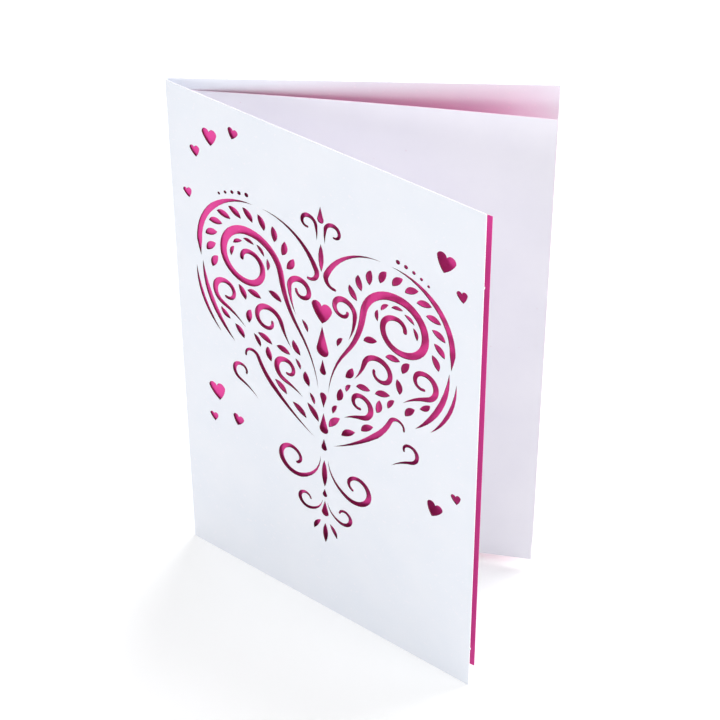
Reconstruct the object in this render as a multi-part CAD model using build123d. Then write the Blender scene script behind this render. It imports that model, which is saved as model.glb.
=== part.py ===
from math import acos, asin, ceil, cos, degrees, radians, sin
import os

from build123d import *

# Cover: one sheet of white card, folded down its left edge and cut through on its front panel
card_height = 178.0
panel_width = 113.4  # from the fold's centre to the free edge
card_stock = 0.40
fold_radius = 0.50  # inside the fold
opening_angle = 35.5  # between the front and the back panel

# Nibs on the front panel's free edge, where the cut blank was torn from its sheet
nib_width = 0.7
nib_reach = 0.25
nib_from_top = 24.0
nib_from_bottom = 16.0

# Insert: one sheet of paper, coloured on its outside, folded and glued inside the cover
insert_height = 170.5
insert_stock = 0.16
front_leaf_width = 112.2
front_leaf_lift = 1.4  # degrees away from the front panel at the fold
front_leaf_curl = 1.8  # degrees more by the free edge
back_leaf_width = 113.2
back_leaf_lift = 4.7
back_leaf_curl = 4.0
leaf_bend_radius = 15.0  # where the back leaf comes away from the glue

# Glue line that holds the insert's back leaf to the back panel
glue_film = 0.08
glue_width = 5.0
glue_height = 160.0
glue_from_fold = 1.0

# Cut-out heart, drawn in millimetres from its tip and centre line, then fitted to the panel
drawn_width = 97.8
side_margin = 7.8  # uncut card left at each side of the heart
tip_below_middle = 19.0  # from the middle of the panel's height down to the heart's tip
frame_cut = 2.0  # widest part of the lines that draw the heart's outline
rim_cut = 1.3
stem_cut = 2.9
scroll_cut = 2.1
curl_cut = 1.5
leaf_length = 5.4
leaf_width = 2.4
stem_share = 0.8  # a scroll's stem widens to this share of its cut
eye_share = 0.5  # and the cut narrows to this share by its eye

# The cutter follows the drawn arcs in short straight steps
step_slack = 0.045  # how far a step may lie from its arc
step_turn = 30  # most degrees that one step may turn


def heading(angle):
    """Unit vector at an angle from the first axis, in degrees."""
    return Vector(cos(radians(angle)), sin(radians(angle)))


def face_line(start, angle, runs, inset):
    """One face of a sheet in plan, set in to the right of its outer face; a run is a length and a turn."""
    at, along = start + heading(angle - 90) * inset, heading(angle)
    edges = []
    for length, turn in runs:
        if turn == 0:
            edge = Line(at, at + along * length)
        else:
            radius = length / radians(abs(turn))
            edge = JernArc(at, along, radius + inset if turn > 0 else radius - inset, turn)
        edges.append(edge)
        at, along = edge @ 1, edge % 1
    return edges


def folded_sheet(start, angle, runs, stock, height):
    """A sheet that stands on end; its outer face starts at a free edge and follows the runs."""
    outer = face_line(start, angle, runs, 0)
    inner = face_line(start, angle, runs, stock)
    ends = [Line(outer[0] @ 0, inner[0] @ 0), Line(outer[-1] @ 1, inner[-1] @ 1)]
    base = (card_height - height) / 2
    return extrude(Pos(0, 0, base) * Face(Wire(outer + inner + ends)), height, dir=(0, 0, 1))


def folded_cover():
    """The cover before it is cut: front panel, round fold, back panel."""
    radius = fold_radius + card_stock
    turn = 180 - opening_angle
    runs = [(panel_width, 0), (radius * radians(turn), -turn), (panel_width, 0)]
    return folded_sheet(Vector(panel_width, -radius), 180, runs, card_stock, card_height)


def edge_nibs():
    """The two nibs, flush with the front panel's faces."""
    nib = Box(2 * nib_reach, card_stock, nib_width)
    middle = -fold_radius - card_stock / 2
    return [Pos(panel_width, middle, height) * nib for height in (nib_from_bottom, card_height - nib_from_top)]


def folded_insert():
    """Front leaf, fold, run that is glued down, small bend, back leaf."""
    radius = fold_radius - glue_film
    turn = 180 - opening_angle + front_leaf_lift
    glued = glue_from_fold + glue_width
    bend = leaf_bend_radius * radians(back_leaf_lift)
    leaf_arc = front_leaf_width / radians(front_leaf_curl)
    at_fold = heading(front_leaf_lift - 90) * radius
    free_edge = JernArc(at_fold, heading(front_leaf_lift), leaf_arc, front_leaf_curl) @ 1
    runs = [
        (front_leaf_width, -front_leaf_curl),
        (radius * radians(turn), -turn),
        (glued, 0),
        (bend, -back_leaf_lift),
        (back_leaf_width - glued - bend, -back_leaf_curl),
    ]
    return folded_sheet(free_edge, 180 + front_leaf_lift + front_leaf_curl, runs, insert_stock, insert_height)


def glue_line():
    """The dried glue between the insert's back leaf and the back panel."""
    across = heading(opening_angle + 90)
    along = heading(opening_angle)
    near = across * (fold_radius - glue_film) + along * glue_from_fold
    far = near + along * glue_width
    corners = [near, far, far + across * glue_film, near + across * glue_film]
    base = (card_height - glue_height) / 2
    return extrude(Pos(0, 0, base) * Face(Wire.make_polygon(corners)), glue_height, dir=(0, 0, 1))


def stroke(start, angle, runs, widths):
    """A tapering cut along tangent arcs: each run is a radius and a turn, positive to the left."""
    left, right = [], []
    at, along = Vector(*start), heading(angle)
    for (radius, turn), first, last in zip(runs, widths, widths[1:]):
        spine = JernArc(at, along, radius, turn)
        for edges, side in ((left, 90), (right, -90)):
            points = []
            for share in (0, 0.5, 1):
                half_width = (first + (last - first) * share) / 2
                points.append(spine @ share + (spine % share).rotate(Axis.Z, side) * half_width)
            edges.append(ThreePointArc(*points))
        at, along = spine @ 1, spine % 1
    end = []
    if widths[-1] > 0:
        across = along.rotate(Axis.Z, 90) * (widths[-1] / 2)
        end.append(ThreePointArc(at + across, at + along * (widths[-1] / 2), at - across))
    return Wire(left + right + end)


def volute(eye, entry, turn, quarters, radii, width, stem):
    """A cut that comes up a stem and winds in to its eye by quarter turns, between two radii."""
    side = 1 if turn > 0 else -1
    shrink = (radii[0] - radii[1]) / (quarters - 1)
    last = entry + turn * (quarters - 1)
    centre = Vector(*eye)
    for _ in range(quarters - 1):
        centre += heading(last + 90) * (side * shrink)
        last -= turn
    at, angle = centre - heading(entry + 90) * (side * radii[0]), entry
    for radius, bend in reversed(stem):
        side = 1 if bend > 0 else -1
        centre = at + heading(angle + 90) * (side * radius)
        angle -= bend
        at = centre - heading(angle + 90) * (side * radius)
    rise = [width * stem_share * step / len(stem) for step in range(len(stem) + 1)]
    fall = [width * (1 - (1 - eye_share) * step / (quarters - 1)) for step in range(quarters)]
    whorl = [(radii[0] - shrink * step, turn) for step in range(quarters)]
    return stroke(at, angle, stem + whorl, rise + fall)


def bow(start, through, end, width):
    """A crescent cut through three points, widest at its middle and pointed at both ends."""
    spine = ThreePointArc(start, through, end)
    middle, across = spine @ 0.5, (spine % 0.5).rotate(Axis.Z, 90) * (width / 2)
    outer = ThreePointArc(spine @ 0, middle + across, spine @ 1)
    inner = ThreePointArc(spine @ 1, middle - across, spine @ 0)
    return Wire([outer, inner])


def leaf(base, angle, length=leaf_length, width=leaf_width, bend=0.4):
    """A pointed leaf cut; bend moves its middle sideways, to the left where positive."""
    root = Vector(*base)
    tip = root + heading(angle) * length
    middle = root + heading(angle) * (length / 2) + heading(angle + 90) * bend
    across = heading(angle + 90) * (width / 2)
    return Wire([ThreePointArc(root, middle + across, tip), ThreePointArc(tip, middle - across, root)])


def drop(centre, radius, angle, length):
    """A teardrop cut: a round end and a point that lies length away from the round end's centre."""
    hub = Vector(*centre)
    tip = hub + heading(angle) * length
    touch = 90 - degrees(asin(radius / length))
    sides = [hub + heading(angle + side * touch) * radius for side in (1, -1)]
    back = ThreePointArc(sides[0], hub + heading(angle + 180) * radius, sides[1])
    return Wire([back, Line(sides[1], tip), Line(tip, sides[0])])


def heart(centre, width, tilt=0.0):
    """A plain heart cut, as tall as it is wide."""
    lobe = ThreePointArc((0, 0.24), (0.30, 0.42), (0.5, 0.14))
    side = ThreePointArc((0.5, 0.14), (0.33, -0.22), (0, -0.58))
    half = [lobe, side]
    shape = Wire(half + [edge.mirror(Plane.YZ) for edge in half]).scale(width)
    return Pos(*centre) * Rot(0, 0, tilt) * shape


def dot(centre, width):
    """A round cut."""
    return Pos(*centre) * Wire.make_circle(width / 2)


def stepped(outline):
    """The path that the cutter takes round an outline, in straight steps along its arcs."""
    points = []
    for edge in outline.order_edges():
        steps = 1
        if edge.geom_type == GeomType.CIRCLE:
            turn = min(2 * acos(1 - step_slack / edge.radius), radians(step_turn))
            steps = ceil(edge.length / edge.radius / turn)
        points += [edge @ (step / steps) for step in range(steps)]
    return Wire.make_polygon(points)


def outline_cuts():
    """The right half of the heart's outline: over the lobe, down the side, in to the tip, and an outer rim."""
    return [
        stroke((22, 77.6), 180, [(22, 66), (3, 120)], [0, frame_cut, frame_cut / 2]),
        stroke((25, 77.5), 0, [(22.6, -45), (21, -45), (40, -8)], [0, frame_cut, frame_cut, 0]),
        bow((46.2, 49.3), (43, 35), (34.5, 23.2), frame_cut),
        stroke((3.6, 0.6), 29, [(70, 17), (26, 22), (2.6, -165)], [0, frame_cut, curl_cut, curl_cut / 2]),
        bow((48.8, 46.5), (46.4, 34.5), (40, 24.5), rim_cut),
    ]


def scroll_cuts():
    """The scrolls inside the right half: the lobe's great volute on its stem, and four small ones."""
    return [
        volute((27.4, 57), 84, -90, 6, (12, 3), stem_cut, [(40, -30), (36, 29)]),
        volute((7.5, 54.2), 88, 90, 4, (4.1, 2.1), scroll_cut, [(24, 24)]),
        volute((36.6, 41.4), 20, 90, 4, (4.8, 2.4), scroll_cut, [(24, -25)]),
        volute((21.6, 37), 75, -90, 4, (5.2, 2.4), scroll_cut, [(22, 22)]),
        volute((13.5, 22.5), 15, 90, 4, (4.4, 2), scroll_cut, [(22, -20)]),
    ]


def lobe_leaves():
    """A wreath of leaves between the great volute and the outline, and a short row inside the volute."""
    wreath = [leaf(Vector(26.7, 57.2) + heading(168 - 18.5 * i) * 13.9, 121 - 18.5 * i) for i in range(11)]
    inner = [leaf(Vector(27.2, 56.8) + heading(185 - 40 * i) * 6.7, 89 - 40 * i, 4.2, 1.4) for i in range(5)]
    return wreath + inner


def lobe_dots():
    """A short row of shrinking dots outside the top of the lobe."""
    return [dot(Vector(25, 55) + heading(84 - 6.5 * i) * 25.2, 1.5 - 0.14 * i) for i in range(5)]


def body_leaves():
    """Leaves that fill the right half between its scrolls, from the stem outwards and down to the tip."""
    return [
        leaf((5.6, 40.2), 62, 4.4, 1.5),
        leaf((8.6, 30), 60, bend=-0.5),
        leaf((15.4, 46.8), 22),
        leaf((23.4, 44.6), 8),
        leaf((29.6, 41.4), 62),
        leaf((19.6, 29), 20, 6),
        leaf((28.6, 33.2), 100, bend=-0.4),
        leaf((12.6, 28.4), 10),
        leaf((24.4, 25.9), 60, 4.8, 1.8),
        leaf((30.8, 26.2), 50),
        leaf((36, 31.4), 40, 4.8, 2, -0.4),
        leaf((20.2, 22.2), 78, bend=-0.4),
        leaf((5.4, 19.6), 75, bend=-0.4),
        leaf((2, 7.5), 52, 7),
        leaf((6.8, 6.6), 36, 6.6),
        leaf((14.4, 12.2), 40, 6),
        leaf((8.8, 24.6), 62, 3.8, 1.4),
        leaf((3.6, 13.6), 66, 4.2, 1.5),
    ]


def tail_and_crest_cuts():
    """Scrolls and leaves on the right of the centre line, below the tip and above the cleft."""
    return [
        volute((32.4, 13.4), 20, 90, 3, (3.4, 2), curl_cut, [(20, -25)]),
        volute((12, -11), -25, 90, 4, (6, 2.5), frame_cut, [(13, 65)]),
        volute((7.7, -26), -15, 90, 3, (3.2, 2), curl_cut, [(7, 70)]),
        leaf((1.8, -32.4), -60, 5.6, 1.6),
        volute((5.1, 80.2), 80, -90, 3, (2.8, 1.7), curl_cut, [(20, -15)]),
    ]


def centre_cuts():
    """The cuts on the centre line, from the crest down to the end of the tail."""
    return [
        drop((0, 82.8), 1.2, 90, 4.6),
        leaf((0, 64.6), 90, 9.8, 2, 0),
        heart((0, 50.4), 7.6),
        drop((0, 36), 2.3, 90, 9),
        drop((0, 28), 1.2, 90, 4.6),
        drop((0, 18.6), 1.3, -90, 4.6),
        drop((0, 5.6), 1.7, 90, 6.4),
        drop((0, -1.8), 1.1, 90, 3.6),
        leaf((0, -6.8), -90, 11, 2.2, 0),
        drop((0, -21), 0.9, 90, 2.4),
        drop((0, -28.5), 1.4, 90, 5),
        leaf((0, -33), -90, 8, 2, 0),
    ]


def strewn_hearts():
    """Plain hearts round the drawing, set from the nearest side; a height below zero is from the top."""
    near_fold = [(9.7, -20, 3.8, 10), (15.7, -13, 5.6, 4), (24.7, -8.6, 3.8, -12), (5.9, -36, 3.4, 14)]
    near_fold += [(13.7, 70, 6.6, 10), (21.9, 62, 4.4, -10), (11.7, 58.6, 3.4, 6)]
    near_edge = [(12.7, -21, 6.6, -10), (6.9, -30, 3.8, 10), (14.7, 66, 5.8, -14), (6.9, 74, 3.6, 8)]
    cuts = []
    for side, places in ((0, near_fold), (panel_width, near_edge)):
        for across, up, width, tilt in places:
            x = across if side == 0 else side - across
            cuts.append(heart((x, up if up > 0 else card_height + up), width, tilt))
    return cuts


def cover_sheet():
    """The folded card with its nibs and all its cuts."""
    half = outline_cuts() + scroll_cuts() + lobe_leaves() + lobe_dots() + body_leaves() + tail_and_crest_cuts()
    drawing = half + [wire.mirror(Plane.YZ) for wire in half] + centre_cuts()
    fit = (panel_width - 2 * side_margin) / drawn_width
    tip = Pos(panel_width / 2, card_height / 2 - tip_below_middle)
    cuts = [tip * wire.scale(fit) for wire in drawing] + strewn_hearts()
    face = Plane((0, -fold_radius - card_stock, 0), x_dir=(1, 0, 0), z_dir=(0, -1, 0))
    cutters = [extrude(face * Face(stepped(wire)), 2 * card_stock, both=True) for wire in cuts]
    return folded_cover().fuse(*edge_nibs()).cut(*cutters)


nodes = {
    "card_cover": cover_sheet(),
    "insert_sheet": folded_insert(),
    "glue_strip": glue_line(),
}

# The origin lies under the middle of the standing card
extent = Compound(list(nodes.values())).bounding_box()
to_origin = Pos(-extent.center().X, -extent.center().Y, -extent.min.Z)

os.makedirs("parts", exist_ok=True)
for name, shape in nodes.items():
    export_step(to_origin * shape, f"parts/{name}.step")
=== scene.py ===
import math

import bmesh
import bpy
from mathutils import Euler, Matrix, Vector
from mathutils.geometry import delaunay_2d_cdt


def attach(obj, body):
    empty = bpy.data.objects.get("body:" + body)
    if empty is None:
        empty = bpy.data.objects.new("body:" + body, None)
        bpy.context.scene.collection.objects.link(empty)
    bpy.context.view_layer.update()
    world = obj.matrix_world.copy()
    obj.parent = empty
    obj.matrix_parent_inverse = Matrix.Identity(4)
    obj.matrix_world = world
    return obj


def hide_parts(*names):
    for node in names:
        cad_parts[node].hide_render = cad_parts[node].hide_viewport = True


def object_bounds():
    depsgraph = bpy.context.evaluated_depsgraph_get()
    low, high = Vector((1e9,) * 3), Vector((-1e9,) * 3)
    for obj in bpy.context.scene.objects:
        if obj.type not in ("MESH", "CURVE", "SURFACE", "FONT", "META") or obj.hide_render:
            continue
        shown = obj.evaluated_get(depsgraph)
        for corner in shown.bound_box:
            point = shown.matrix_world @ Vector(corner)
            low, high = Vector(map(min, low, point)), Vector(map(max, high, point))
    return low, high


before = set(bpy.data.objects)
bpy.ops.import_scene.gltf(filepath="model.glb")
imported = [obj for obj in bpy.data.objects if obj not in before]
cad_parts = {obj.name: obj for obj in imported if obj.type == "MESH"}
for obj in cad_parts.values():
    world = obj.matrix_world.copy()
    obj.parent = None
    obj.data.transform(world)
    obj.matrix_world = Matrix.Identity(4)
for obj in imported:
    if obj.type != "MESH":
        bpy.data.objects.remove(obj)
cadLow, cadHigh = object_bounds()
print("frame: loaded", sorted(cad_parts))

mm = 0.001  # sheets are laid out in millimetres and become metres when their mesh is made
tiny = 1e-6  # slack where lengths are compared

card = {
    "height": 178.0,
    "panelWidth": 113.4,  # fold centre to free edge
    "stock": 0.40,
    "foldRadius": 0.50,  # inside the fold
    "openingAngle": 35.5,
    "nibWidth": 0.7,  # two torn nibs on the front panel's free edge
    "nibReach": 0.25,
    "nibHeights": (16.0, 154.0),  # of their middles
    "edgeSoftening": 0.03,  # tiny chamfer on every cut edge
}

insert = {
    "height": 170.5,
    "stock": 0.16,
    "glueFilm": 0.08,  # gap to the cover
    "frontWidth": 112.2,
    "frontLift": 1.4,  # degrees off the front panel at the fold
    "frontCurl": 1.8,  # degrees more by the free edge
    "backWidth": 113.2,
    "backLift": 4.7,
    "backCurl": 4.0,
    "gluedRun": 6.0,  # flat on the back panel, then it lifts
    "bendRadius": 15.0,  # where it lifts
    "edgeSoftening": 0.02,
}

laying = {
    "bendStep": 6.0,  # most degrees between two lines across a round fold
    "leafLines": 8,  # lines across a gently curled leaf
    "guard": 0.6,  # flat runs get a line this far from their ends, so shading stays flat
    "cornerTurn": 50.0,  # an outline that turns more than this has a sharp corner
    "outlineStep": 10.0,  # most degrees between points on a smooth outline
    "sharpAngle": 35.0,  # faces that meet at more than this keep a hard edge
    "keyDigits": 3,  # corners are matched to the micrometre
    "lineGap": 1e-4,  # lines nearer than this are one
    "flatSlack": 1e-7,  # points of the flat sheet nearer than this are one
    "tipTurn": 120.0,  # an outline that turns more than this has a pointed tip
}

foldCentre = Vector((
    cadHigh.x / mm - card["panelWidth"] - card["nibReach"],
    cadLow.y / mm + card["foldRadius"] + card["stock"],
))


def unit(angle):
    return Vector((math.cos(math.radians(angle)), math.sin(math.radians(angle))))


# Point and heading after a distance along straight and round runs; a run is (length, turn)
def walk(path, distance):
    at, angle = Vector(path["start"]), path["heading"]
    for number, (length, turn) in enumerate(path["runs"], 1):
        step = distance if number == len(path["runs"]) else min(distance, length)
        if turn:
            radius = length / math.radians(turn)  # negative where the run turns right
            bend = turn * step / length
            at = at + (unit(angle + 90) - unit(angle + bend + 90)) * radius
            angle += bend
        else:
            at = at + unit(angle) * step
        distance -= step
        if distance <= 0:
            break
    return at, angle


# Where a point of the flat sheet goes when it is folded; depth is measured in from the outer face
def folded(path, along, up, depth):
    at, angle = walk(path, along)
    plan = (foldCentre + at + unit(angle - 90) * depth) * mm
    return plan.x, plan.y, up * mm


# Distances along a path at which the sheet needs a line across it
def bendLines(path):
    lines, along = [], 0.0
    for length, turn in path["runs"]:
        if turn:
            steps = max(laying["leafLines"], math.ceil(abs(turn) / laying["bendStep"]))
            lines += [along + length * i / steps for i in range(steps + 1)]
        else:
            lines += [along + laying["guard"], along + length - laying["guard"]]
        along += length
    lines = sorted(line for line in lines if tiny < line < along - tiny)
    gap = laying["lineGap"]
    kept = [line for line, after in zip(lines, lines[1:] + [along]) if after - line > gap]
    return [0.0] + kept + [along]


# Border of a flat sheet, counter-clockwise: bottom, top, then down the free edge past its nibs
def borderOutline(lines, base, top, nibs=()):
    points = [Vector((along, base)) for along in lines]
    points += [Vector((along, top)) for along in reversed(lines)]
    for middle in sorted(nibs, reverse=True):
        for out, side in ((0, 1), (1, 1), (1, -1), (0, -1)):
            points.append(Vector((-out * card["nibReach"], middle + side * card["nibWidth"] / 2)))
    return points


def signedArea(points):
    return sum(a.x * b.y - b.x * a.y for a, b in zip(points, points[1:] + points[:1])) / 2


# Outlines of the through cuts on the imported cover's front face, as flat-sheet millimetres
def cutOutlines(node):
    mesh, after = node.data, {}
    for polygon in mesh.polygons:
        corners = [mesh.vertices[i].co for i in polygon.vertices]
        if max(abs(corner.y - cadLow.y) for corner in corners) > tiny:
            continue
        digits = laying["keyDigits"]
        keys = [(round(corner.x / mm, digits), round(corner.z / mm, digits)) for corner in corners]
        for a, b in zip(keys, keys[1:] + keys[:1]):
            if a in after.get(b, ()):
                after[b].remove(a)  # an edge inside the face is met once each way
            else:
                after.setdefault(a, []).append(b)
    outlines, left = [], {a: ends[0] for a, ends in after.items() if ends}
    while left:
        at = min(left)
        outline = []
        while at in left:
            outline.append(Vector((card["panelWidth"] + foldCentre.x - at[0], at[1])))
            at = left.pop(at)
        outlines.append(outline if signedArea(outline) > 0 else outline[::-1])
    outlines.sort(key=signedArea)
    return outlines[:-1]  # the largest is the panel's own border


# Round a stepped outline off again, a Hermite curve to a side, keeping its sharp corners
def smoothOutline(points):
    count = len(points)
    chords = [points[(i + 1) % count] - points[i] for i in range(count)]
    limit = math.radians(laying["cornerTurn"])
    sharp = [chords[i - 1].angle(chords[i]) > limit for i in range(count)]
    made = []
    for i, chord in enumerate(chords):
        j = (i + 1) % count
        straight, length = chord.normalized(), chord.length
        leaving = None if sharp[i] else (points[j] - points[i - 1]).normalized()
        arriving = None if sharp[j] else (points[(j + 1) % count] - points[i]).normalized()
        if leaving is None:
            leaving = straight
            if arriving is not None:
                leaving = straight * (2 * straight.dot(arriving)) - arriving
        if arriving is None:
            arriving = straight * (2 * straight.dot(leaving)) - leaving
        steps = max(1, math.ceil(math.degrees(leaving.angle(arriving)) / laying["outlineStep"]))
        for step in range(steps):
            t = step / steps
            made.append(
                points[i] * (2 * t**3 - 3 * t**2 + 1)
                + leaving * length * (t**3 - 2 * t**2 + t)
                + points[j] * (3 * t**2 - 2 * t**3)
                + arriving * length * (t**3 - t**2)
            )
    return made


# A counter-clockwise outline moved outward by a distance, or inward where it is negative
def offsetOutline(points, distance):
    moved, limit = [], math.cos(math.radians(laying["tipTurn"]))
    for before, at, after in zip(points[-1:] + points[:-1], points, points[1:] + points[:1]):
        a, b = (at - before).normalized(), (after - at).normalized()
        if a.dot(b) < limit and a.cross(b) * distance > 0:
            moved.append(at + (a - b).normalized() * abs(distance))  # straight out along the tip
        else:
            moved.append(at + Vector((a.y + b.y, -a.x - b.x)) * distance / (1 + a.dot(b)))
    return moved


# A folded sheet as one closed mesh. Material slots: outer face, inner face, border edge, cut edge
def foldedSheet(name, path, sheet, materials, nibs=(), cuts=()):
    base = (card["height"] - sheet["height"]) / 2
    lines = bendLines(path)
    soft = sheet["edgeSoftening"]
    outlines = [borderOutline(lines, base, base + sheet["height"], nibs), *cuts]
    insets = [offsetOutline(o, -soft if n == 0 else soft) for n, o in enumerate(outlines)]
    flat, rings = [], []
    for inset in insets:
        rings.append(list(range(len(flat), len(flat) + len(inset))))
        flat += inset
    across = [(i, 2 * len(lines) - 1 - i) for i in range(1, len(lines) - 1)]
    slack = laying["flatSlack"]
    points, _, triangles, source, _, inside = delaunay_2d_cdt(flat, across, rings, 0, slack, True)
    if len(points) != len(flat):
        raise ValueError(f"{name}: the flat sheet's outlines cross")

    mesh = bmesh.new()
    outer = [mesh.verts.new(folded(path, p.x, p.y, 0)) for p in flat]
    inner = [mesh.verts.new(folded(path, p.x, p.y, sheet["stock"])) for p in flat]
    for triangle, within in zip(triangles, inside):
        if list(within) == [0]:  # in the border and in no cut
            corners = [source[i][0] for i in triangle]
            mesh.faces.new([outer[i] for i in corners]).material_index = 0
            mesh.faces.new([inner[i] for i in reversed(corners)]).material_index = 1
    for number, (outline, ring) in enumerate(zip(outlines, rings)):
        edge = 2 if number == 0 else 3
        near = [mesh.verts.new(folded(path, p.x, p.y, soft)) for p in outline]
        far = [mesh.verts.new(folded(path, p.x, p.y, sheet["stock"] - soft)) for p in outline]
        rows = [[outer[i] for i in ring], near, far, [inner[i] for i in ring]]
        for slot, row, below in zip((0, edge, 1), rows, rows[1:]):
            for i in range(len(row)):
                quad = mesh.faces.new((row[i - 1], row[i], below[i], below[i - 1]))
                quad.material_index = slot
    bmesh.ops.recalc_face_normals(mesh, faces=mesh.faces)
    data = bpy.data.meshes.new(name)
    mesh.to_mesh(data)
    mesh.free()
    data.shade_smooth()
    data.set_sharp_from_angle(angle=math.radians(laying["sharpAngle"]))
    for material in materials:
        data.materials.append(material)
    piece = bpy.data.objects.new(name, data)
    bpy.context.scene.collection.objects.link(piece)
    print(f"{name}: {len(data.polygons)} faces")
    return piece


# Node helpers
def newGroup(name, inputs, outputs):
    group = bpy.data.node_groups.new(name, "ShaderNodeTree")
    for label, value in inputs.items():
        socket = group.interface.new_socket(label, in_out="INPUT", socket_type="NodeSocketFloat")
        socket.default_value = value
    for label in outputs:
        group.interface.new_socket(label, in_out="OUTPUT", socket_type="NodeSocketFloat")
    return group, group.nodes.new("NodeGroupInput"), group.nodes.new("NodeGroupOutput")


def addNode(tree, kind, values=None, **settings):
    node = tree.nodes.new(kind)
    for key, value in settings.items():
        setattr(node, key, value)
    for key, value in (values or {}).items():
        if isinstance(value, bpy.types.NodeSocket):
            tree.links.new(value, node.inputs[key])
        else:
            node.inputs[key].default_value = value
    return node


def colour(red, green, blue):  # 0-255 as seen on screen
    def linear(value):
        value /= 255
        return value / 12.92 if value <= 0.04045 else ((value + 0.055) / 1.055) ** 2.4

    return linear(red), linear(green), linear(blue), 1


felting = {
    "fibre": {"Detail": 5, "Roughness": 0.65, "Distortion": 0.6},
    "cloud": {"Detail": 3, "Roughness": 0.5},
    "fleck": {"Detail": 1, "Roughness": 0.4},
    "cloudBand": (0.35, 0.65),  # noise between which one tone clouds into the other
    "fleckTop": 0.8,  # a fleck shows where its noise passes this less the fleck share
    "fleckSharpness": 18,  # higher gives it a harder rim
    "fibreRise": 0.02,  # millimetres
}

# Paper: felted fibre height, slow clouding and rare flecks, all in object space
fibreGroup, groupIn, groupOut = newGroup(
    "paperFibre",
    {"Fibre Scale": 2600, "Cloud Scale": 60, "Fleck Scale": 900, "Fleck Share": 0.1},
    ("Height", "Clouding", "Flecks"),
)
place = addNode(fibreGroup, "ShaderNodeTexCoord").outputs["Object"]
felt = addNode(fibreGroup, "ShaderNodeTexNoise", {
    "Vector": place, "Scale": groupIn.outputs["Fibre Scale"], **felting["fibre"],
})
cloud = addNode(fibreGroup, "ShaderNodeTexNoise", {
    "Vector": place, "Scale": groupIn.outputs["Cloud Scale"], **felting["cloud"],
})
fleck = addNode(fibreGroup, "ShaderNodeTexNoise", {
    "Vector": place, "Scale": groupIn.outputs["Fleck Scale"], **felting["fleck"],
})
spread = addNode(fibreGroup, "ShaderNodeMapRange", {
    "Value": cloud.outputs["Fac"],
    "From Min": felting["cloudBand"][0], "From Max": felting["cloudBand"][1],
})
limit = addNode(fibreGroup, "ShaderNodeMath", {
    0: felting["fleckTop"], 1: groupIn.outputs["Fleck Share"],
}, operation="SUBTRACT")
above = addNode(fibreGroup, "ShaderNodeMath", {
    0: fleck.outputs["Fac"], 1: limit.outputs[0],
}, operation="SUBTRACT")
sharpened = addNode(fibreGroup, "ShaderNodeMath", {
    0: above.outputs[0], 1: felting["fleckSharpness"],
}, operation="MULTIPLY", use_clamp=True)
fibreGroup.links.new(felt.outputs["Fac"], groupOut.inputs["Height"])
fibreGroup.links.new(spread.outputs["Result"], groupOut.inputs["Clouding"])
fibreGroup.links.new(sharpened.outputs[0], groupOut.inputs["Flecks"])


# A paper finish: two near tones clouded into each other, flecks, and fibre bump
def paperMaterial(name, look):
    material = bpy.data.materials.new(name)
    material.use_nodes = True
    tree = material.node_tree
    shader = tree.nodes["Principled BSDF"]
    fibre = addNode(tree, "ShaderNodeGroup", node_tree=fibreGroup)
    for label in ("Fibre Scale", "Cloud Scale", "Fleck Scale", "Fleck Share"):
        if label in look:
            fibre.inputs[label].default_value = look[label]
    tones = addNode(tree, "ShaderNodeMix", {
        "Factor": fibre.outputs["Clouding"], "A": look["tone"], "B": look["otherTone"],
    }, data_type="RGBA")
    flecked = addNode(tree, "ShaderNodeMix", {
        "Factor": fibre.outputs["Flecks"], "A": tones.outputs["Result"], "B": look["fleck"],
    }, data_type="RGBA")
    bump = addNode(tree, "ShaderNodeBump", {
        "Height": fibre.outputs["Height"], "Strength": look["bump"],
        "Distance": felting["fibreRise"] * mm,
    })
    tree.links.new(flecked.outputs["Result"], shader.inputs["Base Color"])
    tree.links.new(bump.outputs["Normal"], shader.inputs["Normal"])
    shader.inputs["Roughness"].default_value = look["roughness"]
    shader.inputs["Specular IOR Level"].default_value = look["sheen"]
    return material


whiteCard = paperMaterial("whiteCard", {
    "tone": colour(235, 238, 245), "otherTone": colour(232, 236, 244),
    "fleck": colour(238, 239, 246),
    "roughness": 0.55, "sheen": 0.4, "bump": 0.6, "Fleck Share": 0.12,
})
cardEdge = paperMaterial("cardEdge", {
    "tone": colour(247, 247, 252), "otherTone": colour(240, 240, 246),
    "fleck": colour(228, 226, 232),
    "roughness": 0.8, "sheen": 0.2, "bump": 0.6,
    "Fibre Scale": 5200, "Fleck Scale": 2600, "Fleck Share": 0.2,
})
# Cut walls: the dark maroon tones and flecks are mostly painted shade (the shadow and magenta
# bounce inside the cuts) over a little laser scorch
scorchAndPaintedShade = paperMaterial("scorchAndPaintedShade", {
    "tone": colour(144, 64, 78), "otherTone": colour(108, 38, 54),
    "fleck": colour(72, 20, 34),
    "roughness": 0.8, "sheen": 0.2, "bump": 0.6,
    "Fibre Scale": 5200, "Cloud Scale": 400, "Fleck Scale": 1300, "Fleck Share": 0.16,
})
magentaPaper = paperMaterial("magentaPaper", {
    "tone": colour(242, 78, 168), "otherTone": colour(238, 72, 162),
    "fleck": colour(246, 96, 180),
    "roughness": 0.6, "sheen": 0.25, "bump": 0.7, "Fleck Share": 0.08,
})
palePaper = paperMaterial("palePaper", {
    "tone": colour(239, 237, 244), "otherTone": colour(236, 234, 242),
    "fleck": colour(230, 216, 226),
    "roughness": 0.65, "sheen": 0.3, "bump": 0.6, "Fleck Scale": 500, "Fleck Share": 0.02,
})
insertEdge = paperMaterial("insertEdge", {
    "tone": colour(250, 214, 234), "otherTone": colour(246, 200, 226),
    "fleck": colour(250, 230, 242),
    "roughness": 0.8, "sheen": 0.2, "bump": 0.6,
    "Fibre Scale": 5200, "Fleck Scale": 2600, "Fleck Share": 0.2,
})
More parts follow.
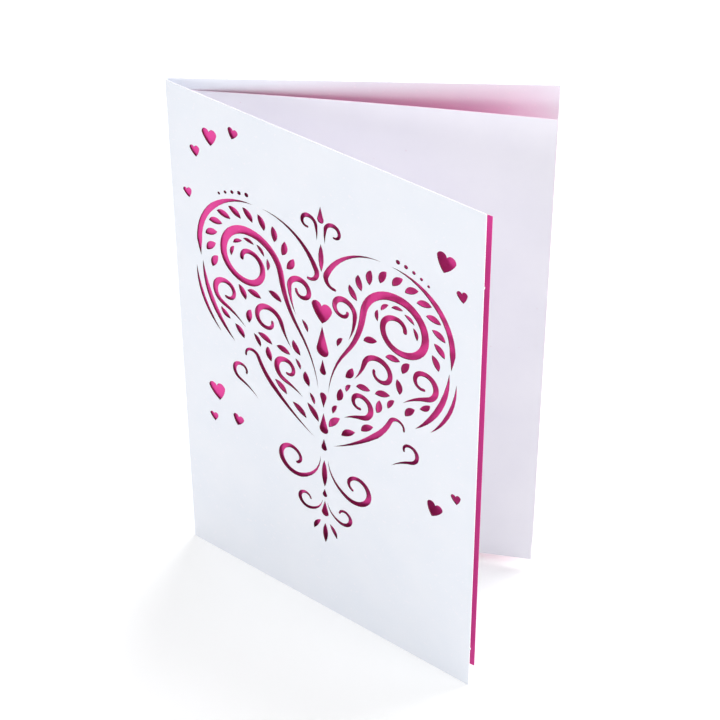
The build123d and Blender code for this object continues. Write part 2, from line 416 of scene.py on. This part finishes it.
driedGlue = paperMaterial("driedGlue", {
    "tone": colour(226, 222, 214), "otherTone": colour(216, 210, 200),
    "fleck": colour(236, 234, 230),
    "roughness": 0.35, "sheen": 0.5, "bump": 0.5,
    "Fibre Scale": 700, "Cloud Scale": 240, "Fleck Share": 0.2,
})
print("materials: made")

outside = card["foldRadius"] + card["stock"]
foldTurn = 180 - card["openingAngle"]
cardPath = {
    "start": (card["panelWidth"], -outside),
    "heading": 180,
    "runs": [
        (card["panelWidth"], 0),
        (outside * math.radians(foldTurn), -foldTurn),
        (card["panelWidth"], 0),
    ],
}
cuts = [smoothOutline(outline) for outline in cutOutlines(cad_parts["card_cover"])]
print("cuts:", len(cuts), "outlines,", sum(len(cut) for cut in cuts), "points")
nibs = card["nibHeights"]
finishes = (whiteCard, whiteCard, cardEdge, scorchAndPaintedShade)
cover = foldedSheet("cut_cover", cardPath, card, finishes, nibs, cuts)
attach(cover, "root")
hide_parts("card_cover")

insertFold = card["foldRadius"] - insert["glueFilm"]
insertTurn = foldTurn + insert["frontLift"]
smallBend = insert["bendRadius"] * math.radians(insert["backLift"])
frontLeaf = {
    "start": unit(insert["frontLift"] - 90) * insertFold,
    "heading": insert["frontLift"],
    "runs": [(insert["frontWidth"], insert["frontCurl"])],
}
freeEdge, freeHeading = walk(frontLeaf, insert["frontWidth"])
insertPath = {
    "start": freeEdge,
    "heading": freeHeading + 180,
    "runs": [
        (insert["frontWidth"], -insert["frontCurl"]),
        (insertFold * math.radians(insertTurn), -insertTurn),
        (insert["gluedRun"], 0),
        (smallBend, -insert["backLift"]),
        (insert["backWidth"] - insert["gluedRun"] - smallBend, -insert["backCurl"]),
    ],
}
leaves = foldedSheet("insert_leaves", insertPath, insert, (magentaPaper, palePaper, insertEdge))
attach(leaves, "root")
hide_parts("insert_sheet")

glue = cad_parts["glue_strip"]
glue.data.materials.clear()
glue.data.materials.append(driedGlue)
print("pieces: made")

white = (1, 1, 1, 1)
studio = {
    "domeLevel": 0.53,
    "lamps": {  # place, size, power
        "key": ((0.05, -1.9, 0.42), 0.8, 11.2),  # on the cut panel
        "fill": ((1.4, 0.1, 0.2), 0.9, 10.5),  # into the open card
        "rear": ((0.05, 0.65, 1.4), 0.9, 16.0),  # down behind the insert, for its glow on the card
    },
    "backdropLevel": 1.0,  # what the camera and mirrored rays meet instead of the dome
    "floorSize": 6.0,
    "floorTone": (0.9, 0.9, 0.9, 1),
    "floorRoughness": 0.9,
    "floorGlow": (0.26, 1.0),  # near and far, seen by the camera only, so the ground reads as white
    "floorReach": (0.4, 1.6),  # metres from the middle at which the two apply
}

floorMaterial = bpy.data.materials.new("studioFloor")
floorMaterial.use_nodes = True
tree = floorMaterial.node_tree
floorShader = tree.nodes["Principled BSDF"]
floorShader.inputs["Base Color"].default_value = studio["floorTone"]
floorShader.inputs["Roughness"].default_value = studio["floorRoughness"]
floorShader.inputs["Specular IOR Level"].default_value = 0
floorSeen = addNode(tree, "ShaderNodeLightPath")
floorPlace = addNode(tree, "ShaderNodeTexCoord")
fromMiddle = addNode(tree, "ShaderNodeVectorMath", {
    0: floorPlace.outputs["Object"],
}, operation="LENGTH")
glow = addNode(tree, "ShaderNodeMapRange", {
    "Value": fromMiddle.outputs["Value"],
    "From Min": studio["floorReach"][0], "From Max": studio["floorReach"][1],
    "To Min": studio["floorGlow"][0], "To Max": studio["floorGlow"][1],
})
floorGlow = addNode(tree, "ShaderNodeMath", {
    0: floorSeen.outputs["Is Camera Ray"], 1: glow.outputs["Result"],
}, operation="MULTIPLY")
floorShader.inputs["Emission Color"].default_value = white
tree.links.new(floorGlow.outputs[0], floorShader.inputs["Emission Strength"])
bpy.ops.mesh.primitive_plane_add(size=studio["floorSize"], location=(0, 0, 0))
floor = bpy.context.object
floor.name = "studioFloor"
floor.data.materials.append(floorMaterial)

world = bpy.data.worlds.new("studioWorld")
bpy.context.scene.world = world
world.use_nodes = True
tree = world.node_tree
tree.nodes.clear()
rays = addNode(tree, "ShaderNodeLightPath")
mirrored = addNode(tree, "ShaderNodeMath", {
    0: rays.outputs["Is Camera Ray"], 1: rays.outputs["Is Glossy Ray"],
}, operation="MAXIMUM")
seen = addNode(tree, "ShaderNodeMath", {
    0: mirrored.outputs[0], 1: rays.outputs["Is Transmission Ray"],
}, operation="MAXIMUM")
dome, backdrop = [
    addNode(tree, "ShaderNodeBackground", {"Color": white, "Strength": studio[level]})
    for level in ("domeLevel", "backdropLevel")
]
either = addNode(tree, "ShaderNodeMixShader", {
    0: seen.outputs[0], 1: dome.outputs[0], 2: backdrop.outputs[0],
})
addNode(tree, "ShaderNodeOutputWorld", {"Surface": either.outputs[0]})


def areaLamp(name, place, size, power):
    lamp = bpy.data.lights.new(name, "AREA")
    lamp.shape = "DISK"
    lamp.size = size
    lamp.energy = power
    holder = bpy.data.objects.new(name, lamp)
    holder.location = place
    towards = Vector((0, 0, card["height"] / 2 * mm)) - Vector(place)
    holder.rotation_euler = towards.to_track_quat("-Z", "Y").to_euler()
    bpy.context.scene.collection.objects.link(holder)


for name, values in studio["lamps"].items():
    areaLamp(name, *values)

viewpoint = {
    "place": (0.3269, -0.4338, 0.5043),
    "azimuth": 37.99,
    "pitchDown": 37.90,
    "roll": -0.2,
    "lens": 109.8,
    "sensor": 36,
}
camera = bpy.data.objects.new("camera", bpy.data.cameras.new("camera"))
bpy.context.scene.collection.objects.link(camera)
camera.location = viewpoint["place"]
pitch, azimuth = math.radians(90 - viewpoint["pitchDown"]), math.radians(viewpoint["azimuth"])
roll = Matrix.Rotation(math.radians(viewpoint["roll"]), 3, "Z")
camera.rotation_euler = (Euler((pitch, 0, azimuth)).to_matrix() @ roll).to_euler()
camera.data.lens = viewpoint["lens"]
camera.data.sensor_width = viewpoint["sensor"]
bpy.context.scene.camera = camera
bpy.context.scene.view_settings.view_transform = "Standard"
print("studio: lit")
